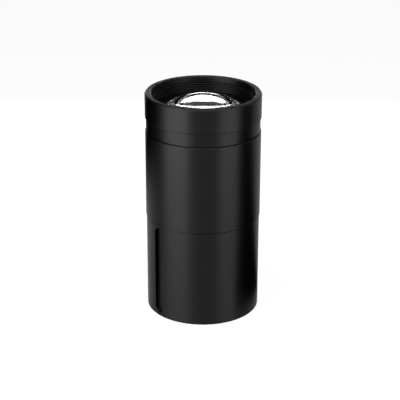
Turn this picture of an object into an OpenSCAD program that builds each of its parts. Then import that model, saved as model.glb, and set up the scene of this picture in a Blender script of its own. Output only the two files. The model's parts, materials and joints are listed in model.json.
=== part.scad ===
// Projection lens with a plain barrel, standing on its rear end.
// +Z points to the screen, and the origin is the centre of the rear face.

/* [Barrel] */
// Diameter of the rear barrel, which the projector's lens holder takes
rear_d = 70.65; // [62:0.05:82]
// Step from the rear barrel out to the main barrel
main_step = 0.375; // [0.1:0.025:1]
// Length of the rear barrel behind the main barrel
rear_len = 62; // [60:0.5:72]
// Length of the main barrel
main_len = 54.9; // [50:0.1:62]
// Chamfer on the barrels' edges
edge_chamfer = 0.35; // [0.2:0.05:0.6]
// Wall of the main barrel
main_wall = 2.65; // [2:0.05:3]
// Wall of the rear barrel, round the rear cell
rear_wall = 4; // [3.2:0.1:4.5]
// How far the rear barrel's spigot stops short of the head's sleeve
sleeve_room = 2.2; // [1:0.1:6]

/* [Keyway] */
// Width of the keyway
keyway_w = 7; // [5:0.1:9]
// Depth of the keyway
keyway_depth = 2; // [1:0.1:2.4]
// Distance from the rear face to the keyway
keyway_start = 1.7; // [1:0.1:3]
// Length of the keyway over its round ends
keyway_len = 58.1; // [40:0.1:58.5]
// Where the keyway lies round the barrel, in degrees from +X
keyway_angle = 218.5; // [0:0.5:359.5]

/* [Head] */
// Step from the main barrel out to the head's collar
head_step = 0.15; // [0.1:0.05:2]
// Step from the main barrel in to the neck below the collar
neck_step = 0.5; // [0.2:0.05:0.8]
// Length of the collar
head_len = 15.2; // [14:0.1:18]
// Length of the neck
neck_len = 8.3; // [7:0.1:12]
// Gap between the neck and the main barrel when the head is screwed home
focus_gap = 0.3; // [0.2:0.05:0.8]
// Width of the rim round the mouth
rim_w = 3.85; // [3.2:0.05:4]
// Depth of the smooth mouth
mouth_depth = 2.9; // [2:0.1:3.6]
// Depth of the light-trap grooves
groove_depth = 0.85; // [0.5:0.05:1]
// Spacing of the grooves
groove_pitch = 1.5; // [1.2:0.05:2]
// Flat left on each crest
crest_w = 0.25; // [0.15:0.05:0.4]
// Thickness of the ring that makes the ledge round the front glass
ledge_t = 1.7; // [1.4:0.1:2]
// Length of the head's sleeve, inside the main barrel
sleeve_len = 25; // [20:0.5:28]
// Wall of that sleeve
sleeve_wall = 4.6; // [4.2:0.05:5]

/* [Focus] */
// How far the head travels along the axis
focus_travel = 5; // [2:0.5:6]
// Diameter of the guide pins
pin_d = 4; // [3:0.1:5]
// Number of guide pins
pin_count = 3; // [2:1:4]
// Depth of the carriage's guide slots
slot_depth = 1.5; // [1:0.1:2]
// Length of the carriage inside the rear barrel's spigot
carriage_tail = 18; // [17:0.5:22]
// Distance of the guide pins below the spigot's top
pin_drop = 8; // [5:0.5:8.5]
// Wall of the carriage round the front glass
carriage_wall = 2.3; // [2.1:0.1:3]
// Wall of the carriage round the second and third glass
inner_wall = 3.8; // [3:0.1:5]
// Section of the damping ring
damping_d = 1.9; // [1.6:0.05:2.2]
// Distance of the damping ring above the sleeve's end
damping_rise = 8; // [3:0.5:14]

/* [Front glass] */
// Depth of the glass's top below the rim
glass_drop = 1.6; // [1.2:0.1:3]
// Radius of the dome
dome_rad = 40; // [36:0.5:50]
// Thickness at the axis
front_glass_t = 3.6; // [3:0.1:4.5]
// Thickness at the edge
front_edge_t = 3.35; // [2.5:0.05:4]
// Radius of the hollow behind the glass
bowl_rad = 22; // [20:0.5:26]
// How far the retaining ring laps over the glass
front_ring_lap = 1.4; // [1:0.1:2.5]

/* [Inner front glass] */
// Thickness of the lip between the front glass and the second
seat_lip_t = 2; // [1.5:0.1:3]
// Thickness of the second glass at the axis
second_glass_t = 2.5; // [2.2:0.1:3]
// Thickness of the second glass at the edge
second_edge_t = 5.1; // [4:0.1:6]
// Radius of the second glass's front
second_front_rad = 60; // [50:1:80]
// Radius of the hollow behind the second glass
second_bowl_rad = 27; // [24:0.5:34]
// Air between the second and the third glass, at the axis
front_air = 12; // [10:0.5:14]
// Thickness of the third glass at the edge
third_edge_t = 2.2; // [1.5:0.1:4]
// Radius of the third glass's front
third_front_rad = 70; // [60:1:90]
// Radius of the third glass's back
third_back_rad = 90; // [75:1:120]
// Width of the rings that stand on the glass
glass_ring_w = 4.5; // [3.5:0.1:5]
// Height of the ring behind the third glass
carriage_ring_h = 5; // [3:0.1:8]

/* [Rear group] */
// Wall of the rear cell round its glass
cell_wall = 5.2; // [4:0.1:6]
// Diameter of the light stop
stop_d = 24; // [16:0.5:32]
// Thickness of the plate with the light stop
plate_t = 1; // [0.6:0.1:1.5]
// Thickness of the rear cell's front lip
cell_lip_t = 3; // [2:0.1:4]
// Thickness of the doublet's front glass at the axis
fourth_glass_t = 2.4; // [2:0.1:3]
// Radius of the doublet's front
doublet_front_rad = 60; // [50:1:80]
// Radius of the doublet's cemented face
cement_rad = 60; // [50:1:75]
// Thickness of the doublet's rear glass at the edge
fifth_edge_t = 1.1; // [0.8:0.1:2]
// Radius of the doublet's back
doublet_back_rad = 70; // [60:1:90]
// Air between the rear group's glasses, at the axis
rear_air = 1; // [0.6:0.1:1.4]
// Thickness of the sixth glass at the edge
sixth_edge_t = 1.7; // [1.2:0.1:3]
// Radius of the sixth glass's front
sixth_front_rad = 65; // [55:1:80]
// Radius of the sixth glass's back
sixth_back_rad = 120; // [100:1:160]
// Thickness of the seventh glass at the edge
seventh_edge_t = 2.5; // [1.5:0.1:3.5]
// Radius of the seventh glass's front
seventh_front_rad = 55; // [46:1:70]
// Height of the ring behind the seventh glass
rear_ring_h = 3.5; // [2:0.1:4.5]
// Depth of that ring inside the rear cell
rear_ring_drop = 2.5; // [1:0.1:4]
// Thickness of the ring that holds the rear cell
lock_t = 3; // [2:0.1:4]
// Depth of that ring inside the rear face
lock_recess = 2; // [1:0.1:4]

/* [Hidden] */
$fn = 96;
// Facets round the large balls that shape the glass
ball_fn = 240;

// Clearances: turned fits round a bore, rings on glass, the cement, and pieces that pass end to end
fit_gap = 0.05;
pin_gap = 0.02;
glass_gap = 0.02;
cement_gap = 0.02;
end_gap = 0.1;
slot_end_gap = 0.3;
// How far a cut runs past the face that it opens
overrun = 1;

// Heights of the barrel and the head, from the rear face
main_z = rear_len;
main_top_z = main_z + main_len;
neck_z = main_top_z + focus_gap;
collar_z = neck_z + neck_len;
rim_z = collar_z + head_len;
sleeve_z = neck_z - sleeve_len;
spigot_top_z = sleeve_z - sleeve_room;

// Radii of the tubes that fit in each other, from the outside in
rear_r = rear_d / 2;
main_r = rear_r + main_step;
head_r = main_r + head_step;
neck_r = main_r - neck_step;
mouth_r = head_r - rim_w;
crest_r = mouth_r - groove_depth;
main_bore_r = main_r - main_wall;
sleeve_r = main_bore_r - fit_gap;
sleeve_bore_r = sleeve_r - sleeve_wall;
carriage_r = sleeve_bore_r - fit_gap;
rear_bore_r = rear_r - rear_wall;
cell_r = rear_bore_r - fit_gap;

// Chamfer round the rim, and the one inside the mouth
rim_chamfer = 2 * edge_chamfer;
mouth_chamfer = edge_chamfer;

// Front glass, from the rim down
front_bore_r = carriage_r - carriage_wall;
front_glass_r = front_bore_r - fit_gap;
front_ring_bore_r = front_glass_r - front_ring_lap;
dome_z = rim_z - glass_drop;
bowl_z = dome_z - front_glass_t;
front_edge_z = dome_z - sag(dome_rad, front_glass_r);
front_seat_z = front_edge_z - front_edge_t;

// Retaining ring on the front glass: a lip on the dome and a screwed skirt round the glass
front_lip_t = 0.7;
front_ring_bevel = 0.45;
front_skirt_w = 1;
front_lip_z = dome_z - sag(dome_rad, front_ring_bore_r) + glass_gap;
front_ring_top_z = front_lip_z + front_lip_t;
front_foot_z = front_edge_z + end_gap;
front_skirt_r = front_bore_r + front_skirt_w;
front_thread_r = front_skirt_r + fit_gap;

// Ring that makes the ledge, level with the retaining ring, and the grooves between it and the mouth
ledge_top_z = front_ring_top_z;
ledge_z = ledge_top_z - ledge_t;
ledge_r = crest_r - fit_gap;
groove_room = rim_z - mouth_depth - crest_w - ledge_top_z;
groove_count = floor(groove_room / groove_pitch);

// Carriage: a lip round the retaining ring, a flange under the head's ledge, and a long body
carriage_lip_w = 0.9;
carriage_lip_r = front_thread_r + carriage_lip_w;
carriage_lip_drop = 0.3;
carriage_top_z = front_ring_top_z - carriage_lip_drop;
flange_t = 2.2;
flange_reach = 1.5;
flange_r = carriage_r + flange_reach;
flange_top_z = ledge_z - end_gap;
flange_z = flange_top_z - flange_t;
pocket_r = flange_r + fit_gap;
pocket_z = flange_z - end_gap;
ledge_bore_r = carriage_lip_r + end_gap;
carriage_z = spigot_top_z - carriage_tail;

// Second and third glass, from the front glass's seat down
inner_bore_r = carriage_r - inner_wall;
inner_glass_r = inner_bore_r - fit_gap;
seat_lip_reach = 3;
seat_lip_r = inner_glass_r - seat_lip_reach;
second_seat_z = front_seat_z - seat_lip_t;
second_z = second_seat_z - glass_gap + sag(second_front_rad, seat_lip_r);
second_bowl_z = second_z - second_glass_t;
second_back_z = second_z - sag(second_front_rad, inner_glass_r) - second_edge_t;
inner_ring_bore_r = inner_glass_r - glass_ring_w;
third_z = second_bowl_z - front_air;
third_back_z = third_z - sag(third_front_rad, inner_glass_r) - third_edge_t - sag(third_back_rad, inner_glass_r);
spacer_top_z = second_back_z - glass_gap;
spacer_z = third_z - sag(third_front_rad, inner_ring_bore_r) + glass_gap;
carriage_ring_top_z = third_back_z + sag(third_back_rad, inner_ring_bore_r) - glass_gap;
carriage_ring_z = carriage_ring_top_z - carriage_ring_h;

// Baffle in the carriage's rear end
baffle_t = 1;
baffle_drop = 0.6;
baffle_reach = 0.8;
baffle_seat_r = inner_bore_r + baffle_reach;
baffle_hole_share = 0.7;

// Guide pins in the spigot, and the carriage's slots for them
pin_r = pin_d / 2;
pin_z = spigot_top_z - pin_drop;
first_pin_angle = 30;
slot_floor_r = carriage_r - slot_depth;
pin_tip_r = slot_floor_r + end_gap;
pin_outer_r = sleeve_r - end_gap;
slot_w = pin_d + 2 * fit_gap;
slot_top_z = pin_z + pin_r + slot_end_gap;
slot_z = pin_z - pin_r - focus_travel - slot_end_gap;

// Damping ring, in a groove of the head's sleeve
damping_groove_share = 1.25;
damping_groove_w = damping_d * damping_groove_share;
damping_z = sleeve_z + damping_rise;
damping_ring_r = sleeve_r - damping_d / 2;
damping_floor_r = sleeve_r - damping_d - pin_gap;

// Rear cell and its glass, from the rear up
cell_bore_r = cell_r - cell_wall;
rear_glass_r = cell_bore_r - fit_gap;
rear_ring_bore_r = rear_glass_r - glass_ring_w;
cell_lip_reach = 5.5;
cell_lip_r = rear_glass_r - cell_lip_reach;
lock_ring_w = 4.2;
lock_bore_r = cell_r - lock_ring_w;
lock_top_z = lock_recess + lock_t;
rear_ring_z = lock_top_z + rear_ring_drop;
rear_ring_top_z = rear_ring_z + rear_ring_h;
seventh_back_z = rear_ring_top_z + glass_gap;
seventh_z = seventh_back_z + seventh_edge_t + sag(seventh_front_rad, rear_glass_r);
sixth_back_z = seventh_z + rear_air;
sixth_z = sixth_back_z + sag(sixth_back_rad, rear_glass_r) + sixth_edge_t + sag(sixth_front_rad, rear_glass_r);
fifth_back_z = sixth_z + rear_air;
fifth_z = fifth_back_z + sag(doublet_back_rad, rear_glass_r) + fifth_edge_t + sag(cement_rad, rear_glass_r);
cement_z = fifth_z + cement_gap;
cement_land = 0.5;
fourth_edge_z = cement_z - sag(cement_rad, rear_glass_r - cement_land);
fourth_z = cement_z + fourth_glass_t;
doublet_top_z = fourth_z + sag(doublet_front_rad, cell_lip_r);
cell_seat_z = doublet_top_z + glass_gap;
plate_z = cell_seat_z + cell_lip_t;
cell_top_z = plate_z + plate_t;
plate_rim = 1.3;
plate_seat_r = cell_r - plate_rim;

// Notches for a pin spanner in the screwed rings
notch_w = 2.4;
notch_depth = 0.9;

barrel_black = "#26272a";
inner_black = "#17181a";
glass_tint = "#c4d0ce";
rubber_black = "#0d0d0e";
pin_steel = "#a9abad";

// Height that a spherical face falls by, from the axis out to radius r
function sag(rad, r) = rad - sqrt(rad * rad - r * r);

// Round bar or bore between two heights
module bar(r, low_z, high_z) {
    translate([0, 0, low_z]) cylinder(r = r, h = high_z - low_z);
}

// Round bar with a chamfer on each end
module chamfered_bar(r, low_z, high_z, chamfer) {
    rotate_extrude()
        polygon([
            [0, low_z], [r - chamfer, low_z], [r, low_z + chamfer],
            [r, high_z - chamfer], [r - chamfer, high_z], [0, high_z]
        ]);
}

// Plain ring between two heights
module ring(outer_r, inner_r, low_z, high_z) {
    difference() {
        bar(outer_r, low_z, high_z);
        bar(inner_r, low_z - overrun, high_z + overrun);
    }
}

// Ring with two spanner notches across one face
module notched_ring(outer_r, inner_r, low_z, high_z, face_z, turn) {
    difference() {
        ring(outer_r, inner_r, low_z, high_z);
        notches(outer_r, face_z, turn);
    }
}

// Two notches across the face of a ring, for a pin spanner
module notches(outer_r, face_z, turn) {
    rotate([0, 0, turn])
        translate([0, 0, face_z])
            cube([2 * (outer_r + overrun), notch_w, 2 * notch_depth], center = true);
}

// Ball with its top at a height, for a face that is convex to the front
module ball_below(rad, top_z) {
    translate([0, 0, top_z - rad]) sphere(r = rad, $fn = ball_fn);
}

// Ball with its foot at a height, for a face that is convex to the rear
module ball_above(rad, foot_z) {
    translate([0, 0, foot_z + rad]) sphere(r = rad, $fn = ball_fn);
}

// Slot along the barrel with round ends, milled in from outer_r to a flat floor
module milled_slot(width, low_z, high_z, floor_r, outer_r) {
    reach = outer_r - floor_r + overrun;
    for (end_z = [low_z + width / 2, high_z - width / 2])
        translate([floor_r, 0, end_z]) rotate([0, 90, 0]) cylinder(r = width / 2, h = reach);
    translate([floor_r, -width / 2, low_z + width / 2])
        cube([reach, width, high_z - low_z - width]);
}

// Repeats a piece at each guide pin
module at_guide_pins() {
    for (i = [0:pin_count - 1])
        rotate([0, 0, first_pin_angle + i * 360 / pin_count]) children();
}

// Guide pin or its hole, lying along +X
module guide_pin(r, inner_r, outer_r) {
    translate([inner_r, 0, pin_z]) rotate([0, 90, 0]) cylinder(r = r, h = outer_r - inner_r);
}

// Rear barrel: the outer tube with its keyway, and the spigot that the main barrel screws onto
module rear_barrel() {
    color(barrel_black)
        difference() {
            union() {
                chamfered_bar(rear_r, 0, main_z, edge_chamfer);
                bar(sleeve_r, edge_chamfer, spigot_top_z);
            }
            bar(rear_bore_r, -overrun, cell_top_z);
            bar(sleeve_bore_r, edge_chamfer, spigot_top_z + overrun);
            rotate([0, 0, keyway_angle])
                milled_slot(keyway_w, keyway_start, keyway_start + keyway_len, rear_r - keyway_depth, rear_r);
            at_guide_pins() guide_pin(pin_r + pin_gap, slot_floor_r, sleeve_r + overrun);
        }
}

module main_barrel() {
    color(barrel_black)
        difference() {
            chamfered_bar(main_r, main_z, main_top_z, edge_chamfer);
            bar(main_bore_r, main_z - overrun, main_top_z + overrun);
        }
}

// Outside of the head: sleeve, neck and collar
module head_outline() {
    rotate_extrude()
        polygon([
            [0, sleeve_z], [sleeve_r - edge_chamfer, sleeve_z], [sleeve_r, sleeve_z + edge_chamfer],
            [sleeve_r, neck_z],
            [neck_r - edge_chamfer, neck_z], [neck_r, neck_z + edge_chamfer],
            [neck_r, collar_z],
            [head_r - edge_chamfer, collar_z], [head_r, collar_z + edge_chamfer],
            [head_r, rim_z - rim_chamfer], [head_r - rim_chamfer, rim_z],
            [0, rim_z]
        ]);
}

// One light-trap groove, cut out from the crests to the depth of the mouth
module trap_groove(z) {
    half_w = (groove_pitch - crest_w) / 2;
    rotate_extrude()
        polygon([
            [crest_r - overrun, z + half_w], [crest_r, z + half_w], [mouth_r, z],
            [crest_r, z - half_w], [crest_r - overrun, z - half_w]
        ]);
}

// Mouth of the head, with a chamfer at the rim
module head_mouth() {
    rotate_extrude()
        polygon([
            [0, rim_z - mouth_depth], [mouth_r, rim_z - mouth_depth], [mouth_r, rim_z - mouth_chamfer],
            [mouth_r + mouth_chamfer, rim_z], [mouth_r + mouth_chamfer, rim_z + overrun], [0, rim_z + overrun]
        ]);
}

module focus_head() {
    first_groove_z = rim_z - mouth_depth - (crest_w + groove_pitch) / 2;
    color(barrel_black)
        difference() {
            head_outline();
            head_mouth();
            bar(crest_r, ledge_z, rim_z);
            bar(pocket_r, pocket_z, rim_z);
            bar(sleeve_bore_r, sleeve_z - overrun, rim_z);
            for (i = [0:groove_count - 1])
                trap_groove(first_groove_z - i * groove_pitch);
            ring(sleeve_r + overrun, damping_floor_r,
                damping_z - damping_groove_w / 2, damping_z + damping_groove_w / 2);
        }
}

module head_lock_ring() {
    color(inner_black)
        notched_ring(ledge_r, ledge_bore_r, ledge_z, ledge_top_z, ledge_top_z, 0);
}

module damping_ring() {
    color(rubber_black)
        rotate_extrude() translate([damping_ring_r, damping_z]) circle(r = damping_d / 2);
}

// Outside of the carriage: body, flange and the lip round the retaining ring
module carriage_outline() {
    rotate_extrude()
        polygon([
            [0, carriage_z], [carriage_r, carriage_z],
            [carriage_r, flange_z], [flange_r, flange_z],
            [flange_r, flange_top_z], [carriage_lip_r, flange_top_z],
            [carriage_lip_r, carriage_top_z], [0, carriage_top_z]
        ]);
}

module focus_carriage() {
    color(inner_black)
        difference() {
            carriage_outline();
            bar(front_thread_r, front_foot_z - end_gap, carriage_top_z + overrun);
            bar(front_bore_r, front_seat_z, carriage_top_z);
            bar(seat_lip_r, carriage_z, carriage_top_z);
            bar(inner_bore_r, carriage_z, second_seat_z);
            bar(baffle_seat_r, carriage_z - overrun, carriage_z + baffle_drop + baffle_t);
            at_guide_pins() milled_slot(slot_w, slot_z, slot_top_z, slot_floor_r, carriage_r);
        }
}

module front_retaining_ring() {
    color(inner_black)
        difference() {
            rotate_extrude()
                polygon([
                    [front_ring_bore_r, front_lip_z],
                    [front_ring_bore_r + front_ring_bevel, front_ring_top_z],
                    [front_skirt_r, front_ring_top_z],
                    [front_skirt_r, front_foot_z],
                    [front_bore_r, front_foot_z],
                    [front_bore_r, front_lip_z]
                ]);
            notches(front_skirt_r, front_ring_top_z + front_lip_t / 2, 90);
        }
}

module front_lens() {
    color(glass_tint)
        difference() {
            intersection() {
                bar(front_glass_r, front_seat_z, dome_z);
                ball_below(dome_rad, dome_z);
            }
            ball_below(bowl_rad, bowl_z);
        }
}

module second_lens() {
    color(glass_tint)
        difference() {
            intersection() {
                bar(inner_glass_r, second_back_z, second_z);
                ball_below(second_front_rad, second_z);
            }
            ball_below(second_bowl_rad, second_bowl_z);
        }
}

module lens_spacer() {
    color(inner_black) ring(inner_glass_r, inner_ring_bore_r, spacer_z, spacer_top_z);
}

// Glass that is convex on both faces
module convex_glass(r, front_rad, front_z, back_rad, back_z) {
    intersection() {
        bar(r, back_z, front_z);
        ball_below(front_rad, front_z);
        ball_above(back_rad, back_z);
    }
}

module third_lens() {
    color(glass_tint)
        convex_glass(inner_glass_r, third_front_rad, third_z, third_back_rad, third_back_z);
}

module carriage_rear_ring() {
    color(inner_black)
        notched_ring(inner_glass_r, inner_ring_bore_r, carriage_ring_z, carriage_ring_top_z, carriage_ring_z, 0);
}

module carriage_baffle() {
    color(inner_black)
        ring(baffle_seat_r - fit_gap, inner_bore_r * baffle_hole_share,
            carriage_z + baffle_drop, carriage_z + baffle_drop + baffle_t);
}

module guide_pins() {
    color(pin_steel) at_guide_pins() guide_pin(pin_r, pin_tip_r, pin_outer_r);
}

// Rear cell: a tube with a lip in front of the doublet and a recess for the plate
module rear_cell() {
    color(inner_black)
        difference() {
            bar(cell_r, lock_top_z, cell_top_z);
            bar(plate_seat_r, plate_z, cell_top_z + overrun);
            bar(cell_lip_r, lock_top_z, cell_top_z);
            bar(cell_bore_r, lock_top_z - overrun, cell_seat_z);
        }
}

module aperture_plate() {
    color(inner_black) ring(plate_seat_r - fit_gap, stop_d / 2, plate_z, cell_top_z);
}

module fourth_lens() {
    color(glass_tint)
        difference() {
            bar(rear_glass_r, fourth_edge_z, doublet_top_z);
            ball_above(doublet_front_rad, fourth_z);
            ball_below(cement_rad, cement_z);
        }
}

module fifth_lens() {
    color(glass_tint)
        convex_glass(rear_glass_r, cement_rad, fifth_z, doublet_back_rad, fifth_back_z);
}

module rear_spacer_front() {
    color(inner_black)
        ring(rear_glass_r, rear_ring_bore_r,
            sixth_z - sag(sixth_front_rad, rear_ring_bore_r) + glass_gap,
            fifth_back_z + sag(doublet_back_rad, rear_ring_bore_r) - glass_gap);
}

module sixth_lens() {
    color(glass_tint)
        convex_glass(rear_glass_r, sixth_front_rad, sixth_z, sixth_back_rad, sixth_back_z);
}

module rear_spacer_back() {
    color(inner_black)
        ring(rear_glass_r, rear_ring_bore_r,
            seventh_z - sag(seventh_front_rad, rear_ring_bore_r) + glass_gap,
            sixth_back_z + sag(sixth_back_rad, rear_ring_bore_r) - glass_gap);
}

module seventh_lens() {
    color(glass_tint)
        intersection() {
            bar(rear_glass_r, seventh_back_z, seventh_z);
            ball_below(seventh_front_rad, seventh_z);
        }
}

module rear_retaining_ring() {
    color(inner_black)
        notched_ring(rear_glass_r, rear_ring_bore_r, rear_ring_z, rear_ring_top_z, rear_ring_z, 0);
}

module rear_lock_ring() {
    color(inner_black)
        notched_ring(cell_r, lock_bore_r, lock_recess, lock_top_z, lock_recess, 90);
}

rear_barrel();
main_barrel();
focus_head();
head_lock_ring();
damping_ring();
focus_carriage();
front_retaining_ring();
front_lens();
second_lens();
lens_spacer();
third_lens();
carriage_rear_ring();
carriage_baffle();
guide_pins();
rear_cell();
aperture_plate();
fourth_lens();
fifth_lens();
rear_spacer_front();
sixth_lens();
rear_spacer_back();
seventh_lens();
rear_retaining_ring();
rear_lock_ring();
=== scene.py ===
# Projection lens with a plain black barrel, standing on its rear end.
import json
import math
import bmesh
import bpy
from mathutils import Matrix, Vector


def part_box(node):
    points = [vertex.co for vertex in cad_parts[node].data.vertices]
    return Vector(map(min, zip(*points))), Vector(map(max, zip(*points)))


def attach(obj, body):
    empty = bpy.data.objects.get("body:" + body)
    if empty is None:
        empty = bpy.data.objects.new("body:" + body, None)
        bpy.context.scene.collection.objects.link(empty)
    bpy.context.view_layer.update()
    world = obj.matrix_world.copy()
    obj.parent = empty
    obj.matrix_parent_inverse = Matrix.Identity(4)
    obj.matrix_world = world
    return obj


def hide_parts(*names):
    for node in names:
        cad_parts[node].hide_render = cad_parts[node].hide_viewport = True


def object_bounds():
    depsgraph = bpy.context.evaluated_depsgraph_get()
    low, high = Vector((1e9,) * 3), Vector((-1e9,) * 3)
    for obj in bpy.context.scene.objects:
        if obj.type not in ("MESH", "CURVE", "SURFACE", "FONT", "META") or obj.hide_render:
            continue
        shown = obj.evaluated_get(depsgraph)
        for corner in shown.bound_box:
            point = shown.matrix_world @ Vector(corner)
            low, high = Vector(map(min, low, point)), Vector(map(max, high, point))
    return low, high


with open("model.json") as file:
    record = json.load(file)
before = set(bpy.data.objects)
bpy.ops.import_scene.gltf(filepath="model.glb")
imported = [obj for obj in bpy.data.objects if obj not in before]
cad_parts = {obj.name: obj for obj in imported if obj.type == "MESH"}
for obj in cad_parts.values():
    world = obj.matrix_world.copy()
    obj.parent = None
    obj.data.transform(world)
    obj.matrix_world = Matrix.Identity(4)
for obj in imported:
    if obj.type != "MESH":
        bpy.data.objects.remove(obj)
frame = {"nodes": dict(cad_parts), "record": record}
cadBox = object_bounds()

# Sizes are in mm and angles in degrees where a note doesn't say otherwise
mm = 0.001
fullTurn = 2 * math.pi
plainWhite = (1, 1, 1, 1)
sceneNow = bpy.context.scene
sceneNow.view_settings.view_transform = "Standard"


# Camera, fitted to the photograph's outline
cameraView = {
    "lookAt": (0, 0, 70.36),
    "distance": 814.35,
    "lookDown": 22.2,                # below level
    "roll": 0.19,
    "lens": 116.73,
    "sensor": 36,
    "shift": (-0.0074, -0.0024),     # shares of the frame
}


def addCamera():
    data = bpy.data.cameras.new("camera")
    data.lens = cameraView["lens"]
    data.sensor_width = cameraView["sensor"]
    data.shift_x, data.shift_y = cameraView["shift"]
    tilt = Matrix.Rotation(math.radians(90 - cameraView["lookDown"]), 4, "X")
    roll = Matrix.Rotation(math.radians(cameraView["roll"]), 4, "Z")
    away = tilt @ Vector((0, 0, cameraView["distance"]))
    camera = bpy.data.objects.new("camera", data)
    camera.location = (Vector(cameraView["lookAt"]) + away) * mm
    camera.rotation_euler = (tilt @ roll).to_euler()
    sceneNow.collection.objects.link(camera)
    sceneNow.camera = camera


addCamera()
print("camera placed")


# Small helpers for nodes and colours
def linearColour(hexCode):
    # from an sRGB colour to the linear one that the nodes take
    parts = [int(hexCode[i:i + 2], 16) / 255 for i in (1, 3, 5)]
    return tuple(c / 12.92 if c <= 0.04045 else ((c + 0.055) / 1.055) ** 2.4 for c in parts) + (1.0,)


def addNode(tree, kind, settings=None, inputs=None, links=None):
    node = tree.nodes.new(kind)
    for name, value in (settings or {}).items():
        setattr(node, name, value)
    for name, value in (inputs or {}).items():
        node.inputs[name].default_value = value
    for name, source in (links or {}).items():
        tree.links.new(source, node.inputs[name])
    return node


def newMaterial(name):
    material = bpy.data.materials.new(name)
    material.use_nodes = True
    material.node_tree.nodes.clear()
    return material, material.node_tree


# Studio: a white room, a pale floor and soft lamps
studio = {
    "roomFill": 0.5,                 # strength of the room as a light
    "floorSize": 6000,
    "shadowShare": 0.12,             # how much of the floor's look is real paper, with its shadow
    "underLens": 35,                 # the paper doesn't glow this near the axis, under the lens
    "paper": "#f4f4f4",
}

# Azimuth is counted from the camera, and size is width and height. Glow is the brightness of a lamp's
# face, where 1 is white. An ellipse gets the power of its full rectangle, so it is 4 / pi times as bright
lamps = {
    "leftBox": {"azimuth": -51, "foot": 30, "distance": 420, "size": (370, 400), "glow": 9.0},
    "rightBox": {"azimuth": 50, "foot": 5, "distance": 420, "size": (290, 300), "glow": 5.2},
    "leftCard": {"azimuth": -108, "foot": 2, "distance": 130, "size": (90, 40), "glow": 0.8},
    "backBox": {"azimuth": 180, "foot": 10, "distance": 420, "size": (300, 180), "glow": 8.0},
}
hungLamps = {                        # above the rim; those for the glass light its two front elements only
    "topBox": {"azimuth": 0, "elevation": 72, "distance": 600, "size": (1050, 280), "glow": 4.0,
               "shape": "RECTANGLE", "forGlass": False},
    "frontOval": {"azimuth": 180, "elevation": 34, "distance": 600, "size": (440, 285), "glow": 6.5,
                  "shape": "ELLIPSE", "forGlass": True},
    "rearOval": {"azimuth": 180, "elevation": 38, "distance": 720, "size": (660, 815), "glow": 8.0,
                 "shape": "ELLIPSE", "forGlass": True},
}
glassOnly = bpy.data.collections.new("glassOnly")

# Black cards that only reflections see: they paint dark stripes into the lens's reflections, and the right
# one is a painted shadow that stands in for the lens's own shadow on the floor. Foot and top are each a
# distance from the axis and a height
flags = {
    "leftFlag": {"azimuth": -112, "foot": (110, 48), "top": (140, 230), "width": 140},
    # painted shadow: a card for the lens's own shadow on the floor, seen only in the lens's reflections
    "rightFlag": {"azimuth": 80, "foot": (42, 1), "top": (120, 150), "width": 60},
}
ovalFlag = {"azimuth": 180, "elevation": 33, "distance": 640, "size": (560, 690), "corners": 64}


def seenDirectly(tree):
    # 1 for the camera, for reflections and for what is seen through glass
    path = addNode(tree, "ShaderNodeLightPath")
    mirror = addNode(tree, "ShaderNodeMath", {"operation": "MAXIMUM"}, links={
        0: path.outputs["Is Camera Ray"], 1: path.outputs["Is Glossy Ray"]})
    seen = addNode(tree, "ShaderNodeMath", {"operation": "MAXIMUM"}, links={
        0: mirror.outputs[0], 1: path.outputs["Is Transmission Ray"]})
    return seen.outputs[0]


def addRoom():
    world = bpy.data.worlds.new("whiteRoom")
    sceneNow.world = world
    world.use_nodes = True
    tree = world.node_tree
    tree.nodes.clear()
    fill = addNode(tree, "ShaderNodeBackground", inputs={
        "Color": plainWhite, "Strength": studio["roomFill"]})
    white = addNode(tree, "ShaderNodeBackground", inputs={"Color": plainWhite, "Strength": 1.0})
    mix = addNode(tree, "ShaderNodeMixShader", links={
        0: seenDirectly(tree), 1: fill.outputs[0], 2: white.outputs[0]})
    addNode(tree, "ShaderNodeOutputWorld", links={"Surface": mix.outputs[0]})


def paperMaterial():
    # White background paper: it glows for the eye and in reflections, and a matt share of it keeps the
    # lens's shadow
    material, tree = newMaterial("whitePaper")
    place = addNode(tree, "ShaderNodeTexCoord").outputs["Object"]
    away = addNode(tree, "ShaderNodeVectorMath", {"operation": "LENGTH"}, links={0: place})
    clear = addNode(tree, "ShaderNodeMath", {"operation": "GREATER_THAN"},
                    {1: studio["underLens"] * mm}, {0: away.outputs["Value"]})
    seenClear = addNode(tree, "ShaderNodeMath", {"operation": "MULTIPLY"}, links={
        0: clear.outputs[0], 1: seenDirectly(tree)})
    glowShare = addNode(tree, "ShaderNodeMath", {"operation": "MULTIPLY"}, {
        1: 1 - studio["shadowShare"]}, {0: seenClear.outputs[0]})
    matt = addNode(tree, "ShaderNodeBsdfDiffuse", inputs={"Color": linearColour(studio["paper"])})
    glow = addNode(tree, "ShaderNodeEmission", inputs={"Color": plainWhite, "Strength": 1.0})
    mix = addNode(tree, "ShaderNodeMixShader", links={
        0: glowShare.outputs[0], 1: matt.outputs[0], 2: glow.outputs[0]})
    addNode(tree, "ShaderNodeOutputMaterial", links={"Surface": mix.outputs[0]})
    return material


def addFloor():
    bm = bmesh.new()
    bmesh.ops.create_grid(bm, x_segments=1, y_segments=1, size=studio["floorSize"] / 2 * mm)
    mesh = bpy.data.meshes.new("floor")
    bm.to_mesh(mesh)
    bm.free()
    mesh.materials.append(paperMaterial())
    floor = bpy.data.objects.new("floor", mesh)
    sceneNow.collection.objects.link(floor)


def addSoftbox(name, place, aim, size, glow, shape="RECTANGLE"):
    data = bpy.data.lights.new(name, "AREA")
    data.shape = shape
    data.size, data.size_y = size[0] * mm, size[1] * mm
    data.energy = glow * math.pi * data.size * data.size_y
    lamp = bpy.data.objects.new(name, data)
    lamp.location = place * mm
    lamp.rotation_euler = (place - aim).to_track_quat("Z", "Y").to_euler()
    lamp.visible_camera = False
    sceneNow.collection.objects.link(lamp)
    return lamp


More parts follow.
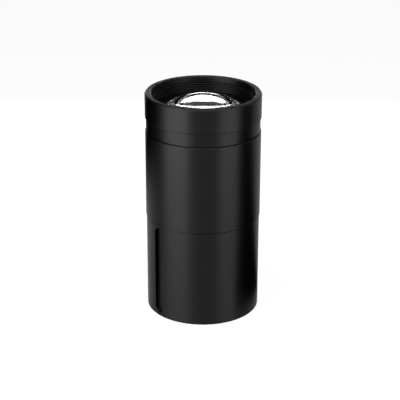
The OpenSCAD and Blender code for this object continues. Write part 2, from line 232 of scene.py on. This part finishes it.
def standAt(lamp):
    # middle of an upright lamp, and the point on the lens's axis that it faces
    turn = math.radians(lamp["azimuth"] - 90)
    middle = lamp["foot"] + lamp["size"][1] / 2
    place = Vector((math.cos(turn) * lamp["distance"], math.sin(turn) * lamp["distance"], middle))
    return place, Vector((0, 0, middle))


def hangAt(card):
    # middle of a lamp or card that hangs above the rim, and the middle of the rim, which it faces
    turn = math.radians(card["azimuth"] - 90)
    rise = math.radians(card["elevation"])
    way = Vector((math.cos(turn) * math.cos(rise), math.sin(turn) * math.cos(rise), math.sin(rise)))
    aim = Vector((0, 0, cadBox[1][2] / mm))
    return aim + way * card["distance"], aim


def addLamps():
    for name, lamp in lamps.items():
        place, aim = standAt(lamp)
        addSoftbox(name, place, aim, lamp["size"], lamp["glow"])
    for name, lamp in hungLamps.items():
        place, aim = hangAt(lamp)
        hung = addSoftbox(name, place, aim, lamp["size"], lamp["glow"], lamp["shape"])
        if lamp["forGlass"]:
            hung.light_linking.receiver_collection = glassOnly


def blackVelvet():
    # Dead black that throws nothing back, so its card paints a dark stripe into a reflection
    material, tree = newMaterial("blackVelvet")
    dull = addNode(tree, "ShaderNodeBsdfDiffuse", inputs={"Color": linearColour("#050505")})
    addNode(tree, "ShaderNodeOutputMaterial", links={"Surface": dull.outputs[0]})
    return material


def addFlag(name, bm, darkReflectionBlack):
    mesh = bpy.data.meshes.new(name)
    bm.to_mesh(mesh)
    bm.free()
    mesh.materials.append(darkReflectionBlack)
    flag = bpy.data.objects.new(name, mesh)
    # only reflections see the card, so it paints a dark stripe into them
    flag.visible_camera = flag.visible_diffuse = False
    flag.visible_transmission = flag.visible_shadow = False
    sceneNow.collection.objects.link(flag)


def addFlags():
    darkReflectionBlack = blackVelvet()
    for name, card in flags.items():
        bm = bmesh.new()
        corners = []
        foot, top, half = card["foot"], card["top"], card["width"] / 2
        for (away, up), side in ((foot, -half), (foot, half), (top, half), (top, -half)):
            corners.append(bm.verts.new((side * mm, -away * mm, up * mm)))
        bm.faces.new(corners)
        bmesh.ops.rotate(bm, verts=bm.verts, cent=(0, 0, 0),
                         matrix=Matrix.Rotation(math.radians(card["azimuth"]), 3, "Z"))
        addFlag(name, bm, darkReflectionBlack)
    bm = bmesh.new()
    wide, tall = ovalFlag["size"]
    bmesh.ops.create_circle(bm, cap_ends=True, radius=mm / 2, segments=ovalFlag["corners"])
    bmesh.ops.scale(bm, verts=bm.verts, vec=(wide, tall, 1))
    place, aim = hangAt(ovalFlag)
    facing = (place - aim).to_track_quat("Z", "Y").to_matrix()
    bmesh.ops.rotate(bm, verts=bm.verts, cent=(0, 0, 0), matrix=facing)
    bmesh.ops.translate(bm, verts=bm.verts, vec=place * mm)
    addFlag("ovalFlag", bm, darkReflectionBlack)


addRoom()
addFloor()
addLamps()
addFlags()
print("studio set")


# Materials, each from what the real piece is made of
turnedMarks = {
    "stretch": 40,                   # how many times longer a mark is round the axis than along it
    "height": 0.01,
    "roughnessSpread": 0.03,
}


def anodisedTurned(name, look):
    # Turned aluminium under a black anodised layer: dark, with highlights drawn out along the axis by the
    # fine marks round it. The marks are drawn coarser than real ones, which are too fine to show
    material, tree = newMaterial(name)
    place = addNode(tree, "ShaderNodeTexCoord").outputs["Object"]
    along = 1 / (look["markPitch"] * mm)
    around = along / turnedMarks["stretch"]
    turned = addNode(tree, "ShaderNodeMapping", inputs={"Scale": (around, around, along)},
                     links={"Vector": place})
    marks = addNode(tree, "ShaderNodeTexNoise", inputs={"Scale": 1.0, "Detail": 2.0, "Roughness": 0.6},
                    links={"Vector": turned.outputs[0]})
    bump = addNode(tree, "ShaderNodeBump", inputs={
        "Strength": look["markStrength"], "Distance": turnedMarks["height"] * mm},
        links={"Height": marks.outputs["Fac"]})
    clouds = addNode(tree, "ShaderNodeTexNoise", inputs={
        "Scale": 1 / (look["cloudSize"] * mm), "Detail": 3.0}, links={"Vector": place})
    spread = turnedMarks["roughnessSpread"]
    rough = addNode(tree, "ShaderNodeMapRange", inputs={
        "To Min": look["roughness"] - spread, "To Max": look["roughness"] + spread},
        links={"Value": clouds.outputs["Fac"]})
    aroundAxis = addNode(tree, "ShaderNodeTangent", {"direction_type": "RADIAL", "axis": "Z"})
    shader = addNode(tree, "ShaderNodeBsdfPrincipled", inputs={
        "Base Color": linearColour(look["colour"]), "Metallic": 1.0,
        "Specular Tint": linearColour(look["edgeTint"]),
        "Anisotropic": look["streak"], "Anisotropic Rotation": 0.25},
        links={"Roughness": rough.outputs[0], "Normal": bump.outputs[0],
               "Tangent": aroundAxis.outputs[0]})
    addNode(tree, "ShaderNodeOutputMaterial", links={"Surface": shader.outputs[0]})
    return material


def opticalGlass(name, ior):
    # Optical glass, polished: clear, with the faint green of a thick piece
    material, tree = newMaterial(name)
    shader = addNode(tree, "ShaderNodeBsdfPrincipled", inputs={
        "Base Color": linearColour("#f6f9f8"), "Roughness": 0.0, "IOR": ior,
        "Transmission Weight": 1.0})
    addNode(tree, "ShaderNodeOutputMaterial", links={"Surface": shader.outputs[0]})
    return material


def groundGlass():
    # The front element's edge and flat back, left fine ground: matt grey, where the faces are clear
    material, tree = newMaterial("groundGlass")
    shader = addNode(tree, "ShaderNodeBsdfPrincipled", inputs={
        "Base Color": linearColour("#707070"), "Roughness": 0.6, "IOR": 1.62})
    addNode(tree, "ShaderNodeOutputMaterial", links={"Surface": shader.outputs[0]})
    return material


def edgeLacquer():
    # Matt black lacquer, painted on a lens's ground edge so that it throws no light back
    material, tree = newMaterial("edgeLacquer")
    shader = addNode(tree, "ShaderNodeBsdfPrincipled", inputs={
        "Base Color": linearColour("#0b0b0b"), "Roughness": 0.7})
    addNode(tree, "ShaderNodeOutputMaterial", links={"Surface": shader.outputs[0]})
    return material


def nitrileRubber():
    # Moulded black rubber: dull and even
    material, tree = newMaterial("nitrileRubber")
    shader = addNode(tree, "ShaderNodeBsdfPrincipled", inputs={
        "Base Color": linearColour("#161616"), "Roughness": 0.55})
    addNode(tree, "ShaderNodeOutputMaterial", links={"Surface": shader.outputs[0]})
    return material


def groundSteel():
    # Hardened dowel pins, ground bright
    material, tree = newMaterial("groundSteel")
    shader = addNode(tree, "ShaderNodeBsdfPrincipled", inputs={
        "Base Color": linearColour("#b9bbbd"), "Metallic": 1.0, "Roughness": 0.25})
    addNode(tree, "ShaderNodeOutputMaterial", links={"Surface": shader.outputs[0]})
    return material


# Finishes by material slot, with three more for the faces and edges of the glass
finish = {
    "anodised_barrel": anodisedTurned("anodisedBarrel", {
        "colour": "#212122", "roughness": 0.44, "edgeTint": "#dcdcdc", "streak": 0.8,
        "markPitch": 0.5, "markStrength": 0.25, "cloudSize": 6}),
    "anodised_inner": anodisedTurned("anodisedInner", {
        "colour": "#161617", "roughness": 0.5, "edgeTint": "#dcdcdc", "streak": 0.6,
        "markPitch": 0.5, "markStrength": 0.25, "cloudSize": 4}),
    "optical_glass": opticalGlass("polishedGlass", 1.62),
    "coatedGlass": opticalGlass("coatedGlass", 1.12),   # a low index for its coating, which kills glints
    "groundGlass": groundGlass(),
    "edgeLacquer": edgeLacquer(),
    "rubber": nitrileRubber(),
    "pin_steel": groundSteel(),
}
slotOf = {part["node"]: part["material_slot"] for part in frame["record"]["subparts"]}
bodyOf = {node: body for body, nodes in frame["record"]["behaviour"]["bodies"].items() for node in nodes}
print("materials mixed")


# Turning and milling
lathe = {
    "steps": 240,                    # round a full turn
    "merge": 0.0001,                 # points nearer than this are one
    "sharpAngle": 30,
}


def mountRadius(name):
    for mount in frame["record"]["mounts"]:
        if mount["name"] == name:
            return mount["dims"]["r_mm"]


def span(node):
    # lowest and highest point of a CAD node, in mm
    low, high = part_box(node)
    return low.z / mm, high.z / mm


def arc(rad, topZ, fromR, toR, steps):
    # points on a spherical face of radius rad, highest at topZ on the axis
    points = []
    for i in range(steps + 1):
        r = fromR + (toR - fromR) * i / steps
        fall = rad - math.sqrt(rad * rad - r * r)
        points.append((r, topZ - fall))
    return points


def turnOnLathe(outline, closed=True):
    # an outline of (radius, height) points, spun round the lens's axis
    bm = bmesh.new()
    corners = [bm.verts.new((r * mm, 0, z * mm)) for r, z in outline]
    pairs = list(zip(corners, corners[1:] + corners[:1])) if closed else list(zip(corners, corners[1:]))
    edges = [bm.edges.new(pair) for pair in pairs]
    bmesh.ops.spin(bm, geom=corners + edges, cent=(0, 0, 0), axis=(0, 0, 1), angle=fullTurn,
                   steps=lathe["steps"], use_merge=True)
    bmesh.ops.remove_doubles(bm, verts=bm.verts, dist=lathe["merge"] * mm)
    bmesh.ops.recalc_face_normals(bm, faces=bm.faces)
    return bm


def makeObject(name, bm):
    mesh = bpy.data.meshes.new(name)
    bm.to_mesh(mesh)
    bm.free()
    made = bpy.data.objects.new(name, mesh)
    sceneNow.collection.objects.link(made)
    return made


def cutAway(piece, cutters):
    for cutter in cutters:
        cut = piece.modifiers.new("cut", "BOOLEAN")
        cut.operation = "DIFFERENCE"
        cut.solver = "EXACT"
        cut.object = cutter
    depsgraph = bpy.context.evaluated_depsgraph_get()
    worked = bpy.data.meshes.new_from_object(piece.evaluated_get(depsgraph))
    piece.modifiers.clear()
    piece.data = worked
    for cutter in cutters:
        bpy.data.objects.remove(cutter)


def finishPiece(piece, node):
    piece.data.shade_smooth()
    piece.data.set_sharp_from_angle(angle=math.radians(lathe["sharpAngle"]))
    if not piece.data.materials:
        piece.data.materials.append(finish[slotOf[node]])
    if slotOf[node] == "optical_glass":
        glassOnly.objects.link(piece)
    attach(piece, bodyOf[node])
    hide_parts(node)
    return piece


# Barrels
barrel = {
    "chamfer": 0.35,
    "mainBore": 33.05,
    "mainRadius": 35.7,
    "spigotRadius": 33.0,
    "spigotBore": 28.4,
    "rearBore": 31.325,
}
keyway = {
    "width": 7.0,
    "depth": 2.0,
    "low": 1.7,
    "high": 59.8,
    "angle": 218.5,
    "edgeBreak": 0.15,
    "endSteps": 24,                  # round each end
}


def keywayRing(bm, halfWidth, level, flat):
    # one loop of the keyway's outline: two straight sides and two round ends
    low, high = keyway["low"] + keyway["width"] / 2, keyway["high"] - keyway["width"] / 2
    ring = []
    steps = keyway["endSteps"]
    for middle, start in ((high, 0), (low, math.pi)):
        for i in range(steps + 1):
            a = start + math.pi * i / steps
            side = halfWidth * math.cos(a)
            out = level if flat else math.sqrt(level * level - side * side)
            ring.append(bm.verts.new((out * mm, side * mm, (middle + halfWidth * math.sin(a)) * mm)))
    return [bm.edges.new(pair) for pair in zip(ring, ring[1:] + ring[:1])]


def keywayCutter(radius):
    half, edge = keyway["width"] / 2, keyway["edgeBreak"]
    bm = bmesh.new()
    floor = keywayRing(bm, half, radius - keyway["depth"], True)
    wall = keywayRing(bm, half, radius - edge, False)
    flare = keywayRing(bm, half + 2 * edge, radius + edge, False)
    lid = keywayRing(bm, half + 2 * edge, radius + keyway["depth"], False)
    bmesh.ops.bridge_loops(bm, edges=floor + wall)
    bmesh.ops.bridge_loops(bm, edges=wall + flare)
    bmesh.ops.bridge_loops(bm, edges=flare + lid)
    bmesh.ops.holes_fill(bm, edges=floor + lid)
    bmesh.ops.rotate(bm, verts=bm.verts, cent=(0, 0, 0),
                     matrix=Matrix.Rotation(math.radians(keyway["angle"]), 3, "Z"))
    bmesh.ops.recalc_face_normals(bm, faces=bm.faces)
    return makeObject("keywayCutter", bm)


def addRearBarrel():
    radius, c = mountRadius("projector_barrel"), barrel["chamfer"]
    foot, spigotTop = span("rear_barrel")
    shoulder = span("main_barrel")[0]
    cellTop = span("rear_cell")[1]
    piece = makeObject("rearBarrel", turnOnLathe([
        (barrel["rearBore"], foot), (radius - c, foot), (radius, foot + c),
        (radius, shoulder - c), (radius - c, shoulder), (barrel["spigotRadius"], shoulder),
        (barrel["spigotRadius"], spigotTop), (barrel["spigotBore"], spigotTop),
        (barrel["spigotBore"], cellTop), (barrel["rearBore"], cellTop)]))
    cutAway(piece, [keywayCutter(radius)])
    finishPiece(piece, "rear_barrel")


def addMainBarrel():
    radius, c = barrel["mainRadius"], barrel["chamfer"]
    foot, top = span("main_barrel")
    piece = makeObject("mainBarrel", turnOnLathe([
        (barrel["mainBore"], foot), (radius - c, foot), (radius, foot + c),
        (radius, top - c), (radius - c, top), (barrel["mainBore"], top)]))
    finishPiece(piece, "main_barrel")


addRearBarrel()
addMainBarrel()
print("barrels turned")


# Head with its light-trap grooves and its focusing thread
head = {
    "neckRadius": 35.2,
    "neckFoot": 117.2,
    "collarFoot": 125.5,
    "rimChamfer": 0.7,
    "rimWidth": 3.85,
    "mouthChamfer": 0.35,
    "mouthDepth": 2.9,
    "grooveDepth": 0.85,
    "groovePitch": 1.5,
    "grooves": 4,
    "crest": 0.25,
    "pocketRadius": 29.9,
    "pocketFloor": 127.26,
    "sleeveRadius": 33.0,
    "sleeveBore": 28.4,
    "sleeveRoot": 32.4,
    "dampingFloor": 31.08,
    "dampingWidth": 2.375,
    "land": 0.8,
}
focusThread = {
    "lead": 6.0,
    "starts": 4,
    "from": 103.5,
    "turns": 2,
    "stepsPerTurn": 96,
    "sunk": 0.1,                     # how far a ridge reaches into the sleeve
    "rootShare": 0.3,                # half width at the root and the crest, as shares of the pitch
    "crestShare": 0.12,
}


def addFocusHead():
    c, radius, neck = barrel["chamfer"], mountRadius("front_collar"), head["neckRadius"]
    foot, rim = span("focus_head")
    ledge = span("head_lock_ring")[0]
    mouth = radius - head["rimWidth"]
    crest = mouth - head["grooveDepth"]
    halfGroove = (head["groovePitch"] - head["crest"]) / 2
    firstGroove = rim - head["mouthDepth"] - (head["crest"] + head["groovePitch"]) / 2
    ringLow, ringHigh = span("damping_ring")
    grooveLow = (ringLow + ringHigh - head["dampingWidth"]) / 2
    grooveHigh = grooveLow + head["dampingWidth"]
    outline = [
        (head["sleeveBore"], foot), (head["sleeveRadius"], foot), (head["sleeveRadius"], grooveLow),
        (head["dampingFloor"], grooveLow), (head["dampingFloor"], grooveHigh),
        (head["sleeveRadius"], grooveHigh), (head["sleeveRadius"], grooveHigh + head["land"]),
        (head["sleeveRoot"], grooveHigh + head["land"]), (head["sleeveRoot"], head["neckFoot"]),
        (neck - c, head["neckFoot"]), (neck, head["neckFoot"] + c), (neck, head["collarFoot"]),
        (radius - c, head["collarFoot"]), (radius, head["collarFoot"] + c),
        (radius, rim - head["rimChamfer"]), (radius - head["rimChamfer"], rim),
        (mouth + head["mouthChamfer"], rim), (mouth, rim - head["mouthChamfer"]),
        (mouth, rim - head["mouthDepth"]), (crest, rim - head["mouthDepth"])]
    for i in range(head["grooves"]):
        z = firstGroove - i * head["groovePitch"]
        outline += [(crest, z + halfGroove), (mouth, z), (crest, z - halfGroove)]
    outline += [(crest, ledge), (head["pocketRadius"], ledge),
                (head["pocketRadius"], head["pocketFloor"]), (head["sleeveBore"], head["pocketFloor"])]
    bm = turnOnLathe(outline)
    addFocusThread(bm)
    finishPiece(makeObject("focusHead", bm), "focus_head")


def threadRidge():
    # one start of the coarse helix that the head turns out on, closed at both ends
    pitch = focusThread["lead"] / focusThread["starts"]
    rise = focusThread["lead"] / focusThread["stepsPerTurn"]
    inner, outer = head["sleeveRoot"] - focusThread["sunk"], head["sleeveRadius"]
    rootShare, crestShare = focusThread["rootShare"], focusThread["crestShare"]
    ridge = bmesh.new()
    corners = []
    for r, share in ((inner, -rootShare), (outer, -crestShare), (outer, crestShare), (inner, rootShare)):
        corners.append(ridge.verts.new((r * mm, 0, (focusThread["from"] + share * pitch) * mm)))
    edges = [ridge.edges.new(pair) for pair in zip(corners, corners[1:] + corners[:1])]
    bmesh.ops.spin(ridge, geom=corners + edges, cent=(0, 0, 0), axis=(0, 0, 1), dvec=(0, 0, rise * mm),
                   angle=fullTurn * focusThread["turns"],
                   steps=focusThread["turns"] * focusThread["stepsPerTurn"])
    bmesh.ops.holes_fill(ridge, edges=[edge for edge in ridge.edges if edge.is_boundary])
    bmesh.ops.recalc_face_normals(ridge, faces=ridge.faces)
    mesh = bpy.data.meshes.new("threadRidge")
    ridge.to_mesh(mesh)
    ridge.free()
    return mesh


def addFocusThread(bm):
    ridge = threadRidge()
    for start in range(focusThread["starts"]):
        known = len(bm.verts)
        bm.from_mesh(ridge)
        bm.verts.ensure_lookup_table()
        bmesh.ops.rotate(bm, verts=bm.verts[known:], cent=(0, 0, 0),
                         matrix=Matrix.Rotation(fullTurn * start / focusThread["starts"], 3, "Z"))
    bpy.data.meshes.remove(ridge)


addFocusHead()
print("head turned")


# Glass: radius of the edge, of the domed front and of the hollow back, and thickness on the axis
glass = {
    "front_lens": {"radius": 26.0, "front": 40, "back": 22, "thickness": 3.6},
    "second_lens": {"radius": 24.5, "front": 60, "back": 27, "thickness": 2.5},
}
glassCut = {
    "steps": 48,                     # from the axis to the edge
    "level": 0.999,                  # a flat back's normal points down by more than this share
    "upright": 0.05,                 # and an edge's normal up or down by less than this one
}
glassFinish = {                      # polished faces, then edge and flat back
    "front_lens": ("optical_glass", "groundGlass"),
    "second_lens": ("coatedGlass", "edgeLacquer"),
}


def addHollowGlass(node, shape):
    low, high = span(node)
    bowlZ = high - shape["thickness"]
    edgeZ = high - (shape["front"] - math.sqrt(shape["front"] ** 2 - shape["radius"] ** 2))
    drop = bowlZ - low
    bowlR = math.sqrt(shape["back"] ** 2 - (shape["back"] - drop) ** 2)
    outline = arc(shape["back"], bowlZ, 0, bowlR, glassCut["steps"])
    outline += [(shape["radius"], low), (shape["radius"], edgeZ)]
    outline += arc(shape["front"], high, shape["radius"], 0, glassCut["steps"])[1:]
    bm = turnOnLathe(outline, closed=False)
    for face in bm.faces:
        away = math.hypot(*face.calc_center_median().xy) / mm
        flatBack = face.normal.z < -glassCut["level"] and away > bowlR
        edge = abs(face.normal.z) < glassCut["upright"]
        face.material_index = 1 if flatBack or edge else 0
    piece = makeObject(node.replace("_", ""), bm)
    for name in glassFinish[node]:
        piece.data.materials.append(finish[name])
    finishPiece(piece, node)


for node, shape in glass.items():
    addHollowGlass(node, shape)
print("glass ground and polished")


# What is left of the CAD model takes its finish as it is
for node, part in frame["nodes"].items():
    part.data.materials.clear()
    slot = slotOf[node]
    part.data.materials.append(finish["coatedGlass" if slot == "optical_glass" else slot])
print("inner pieces finished")
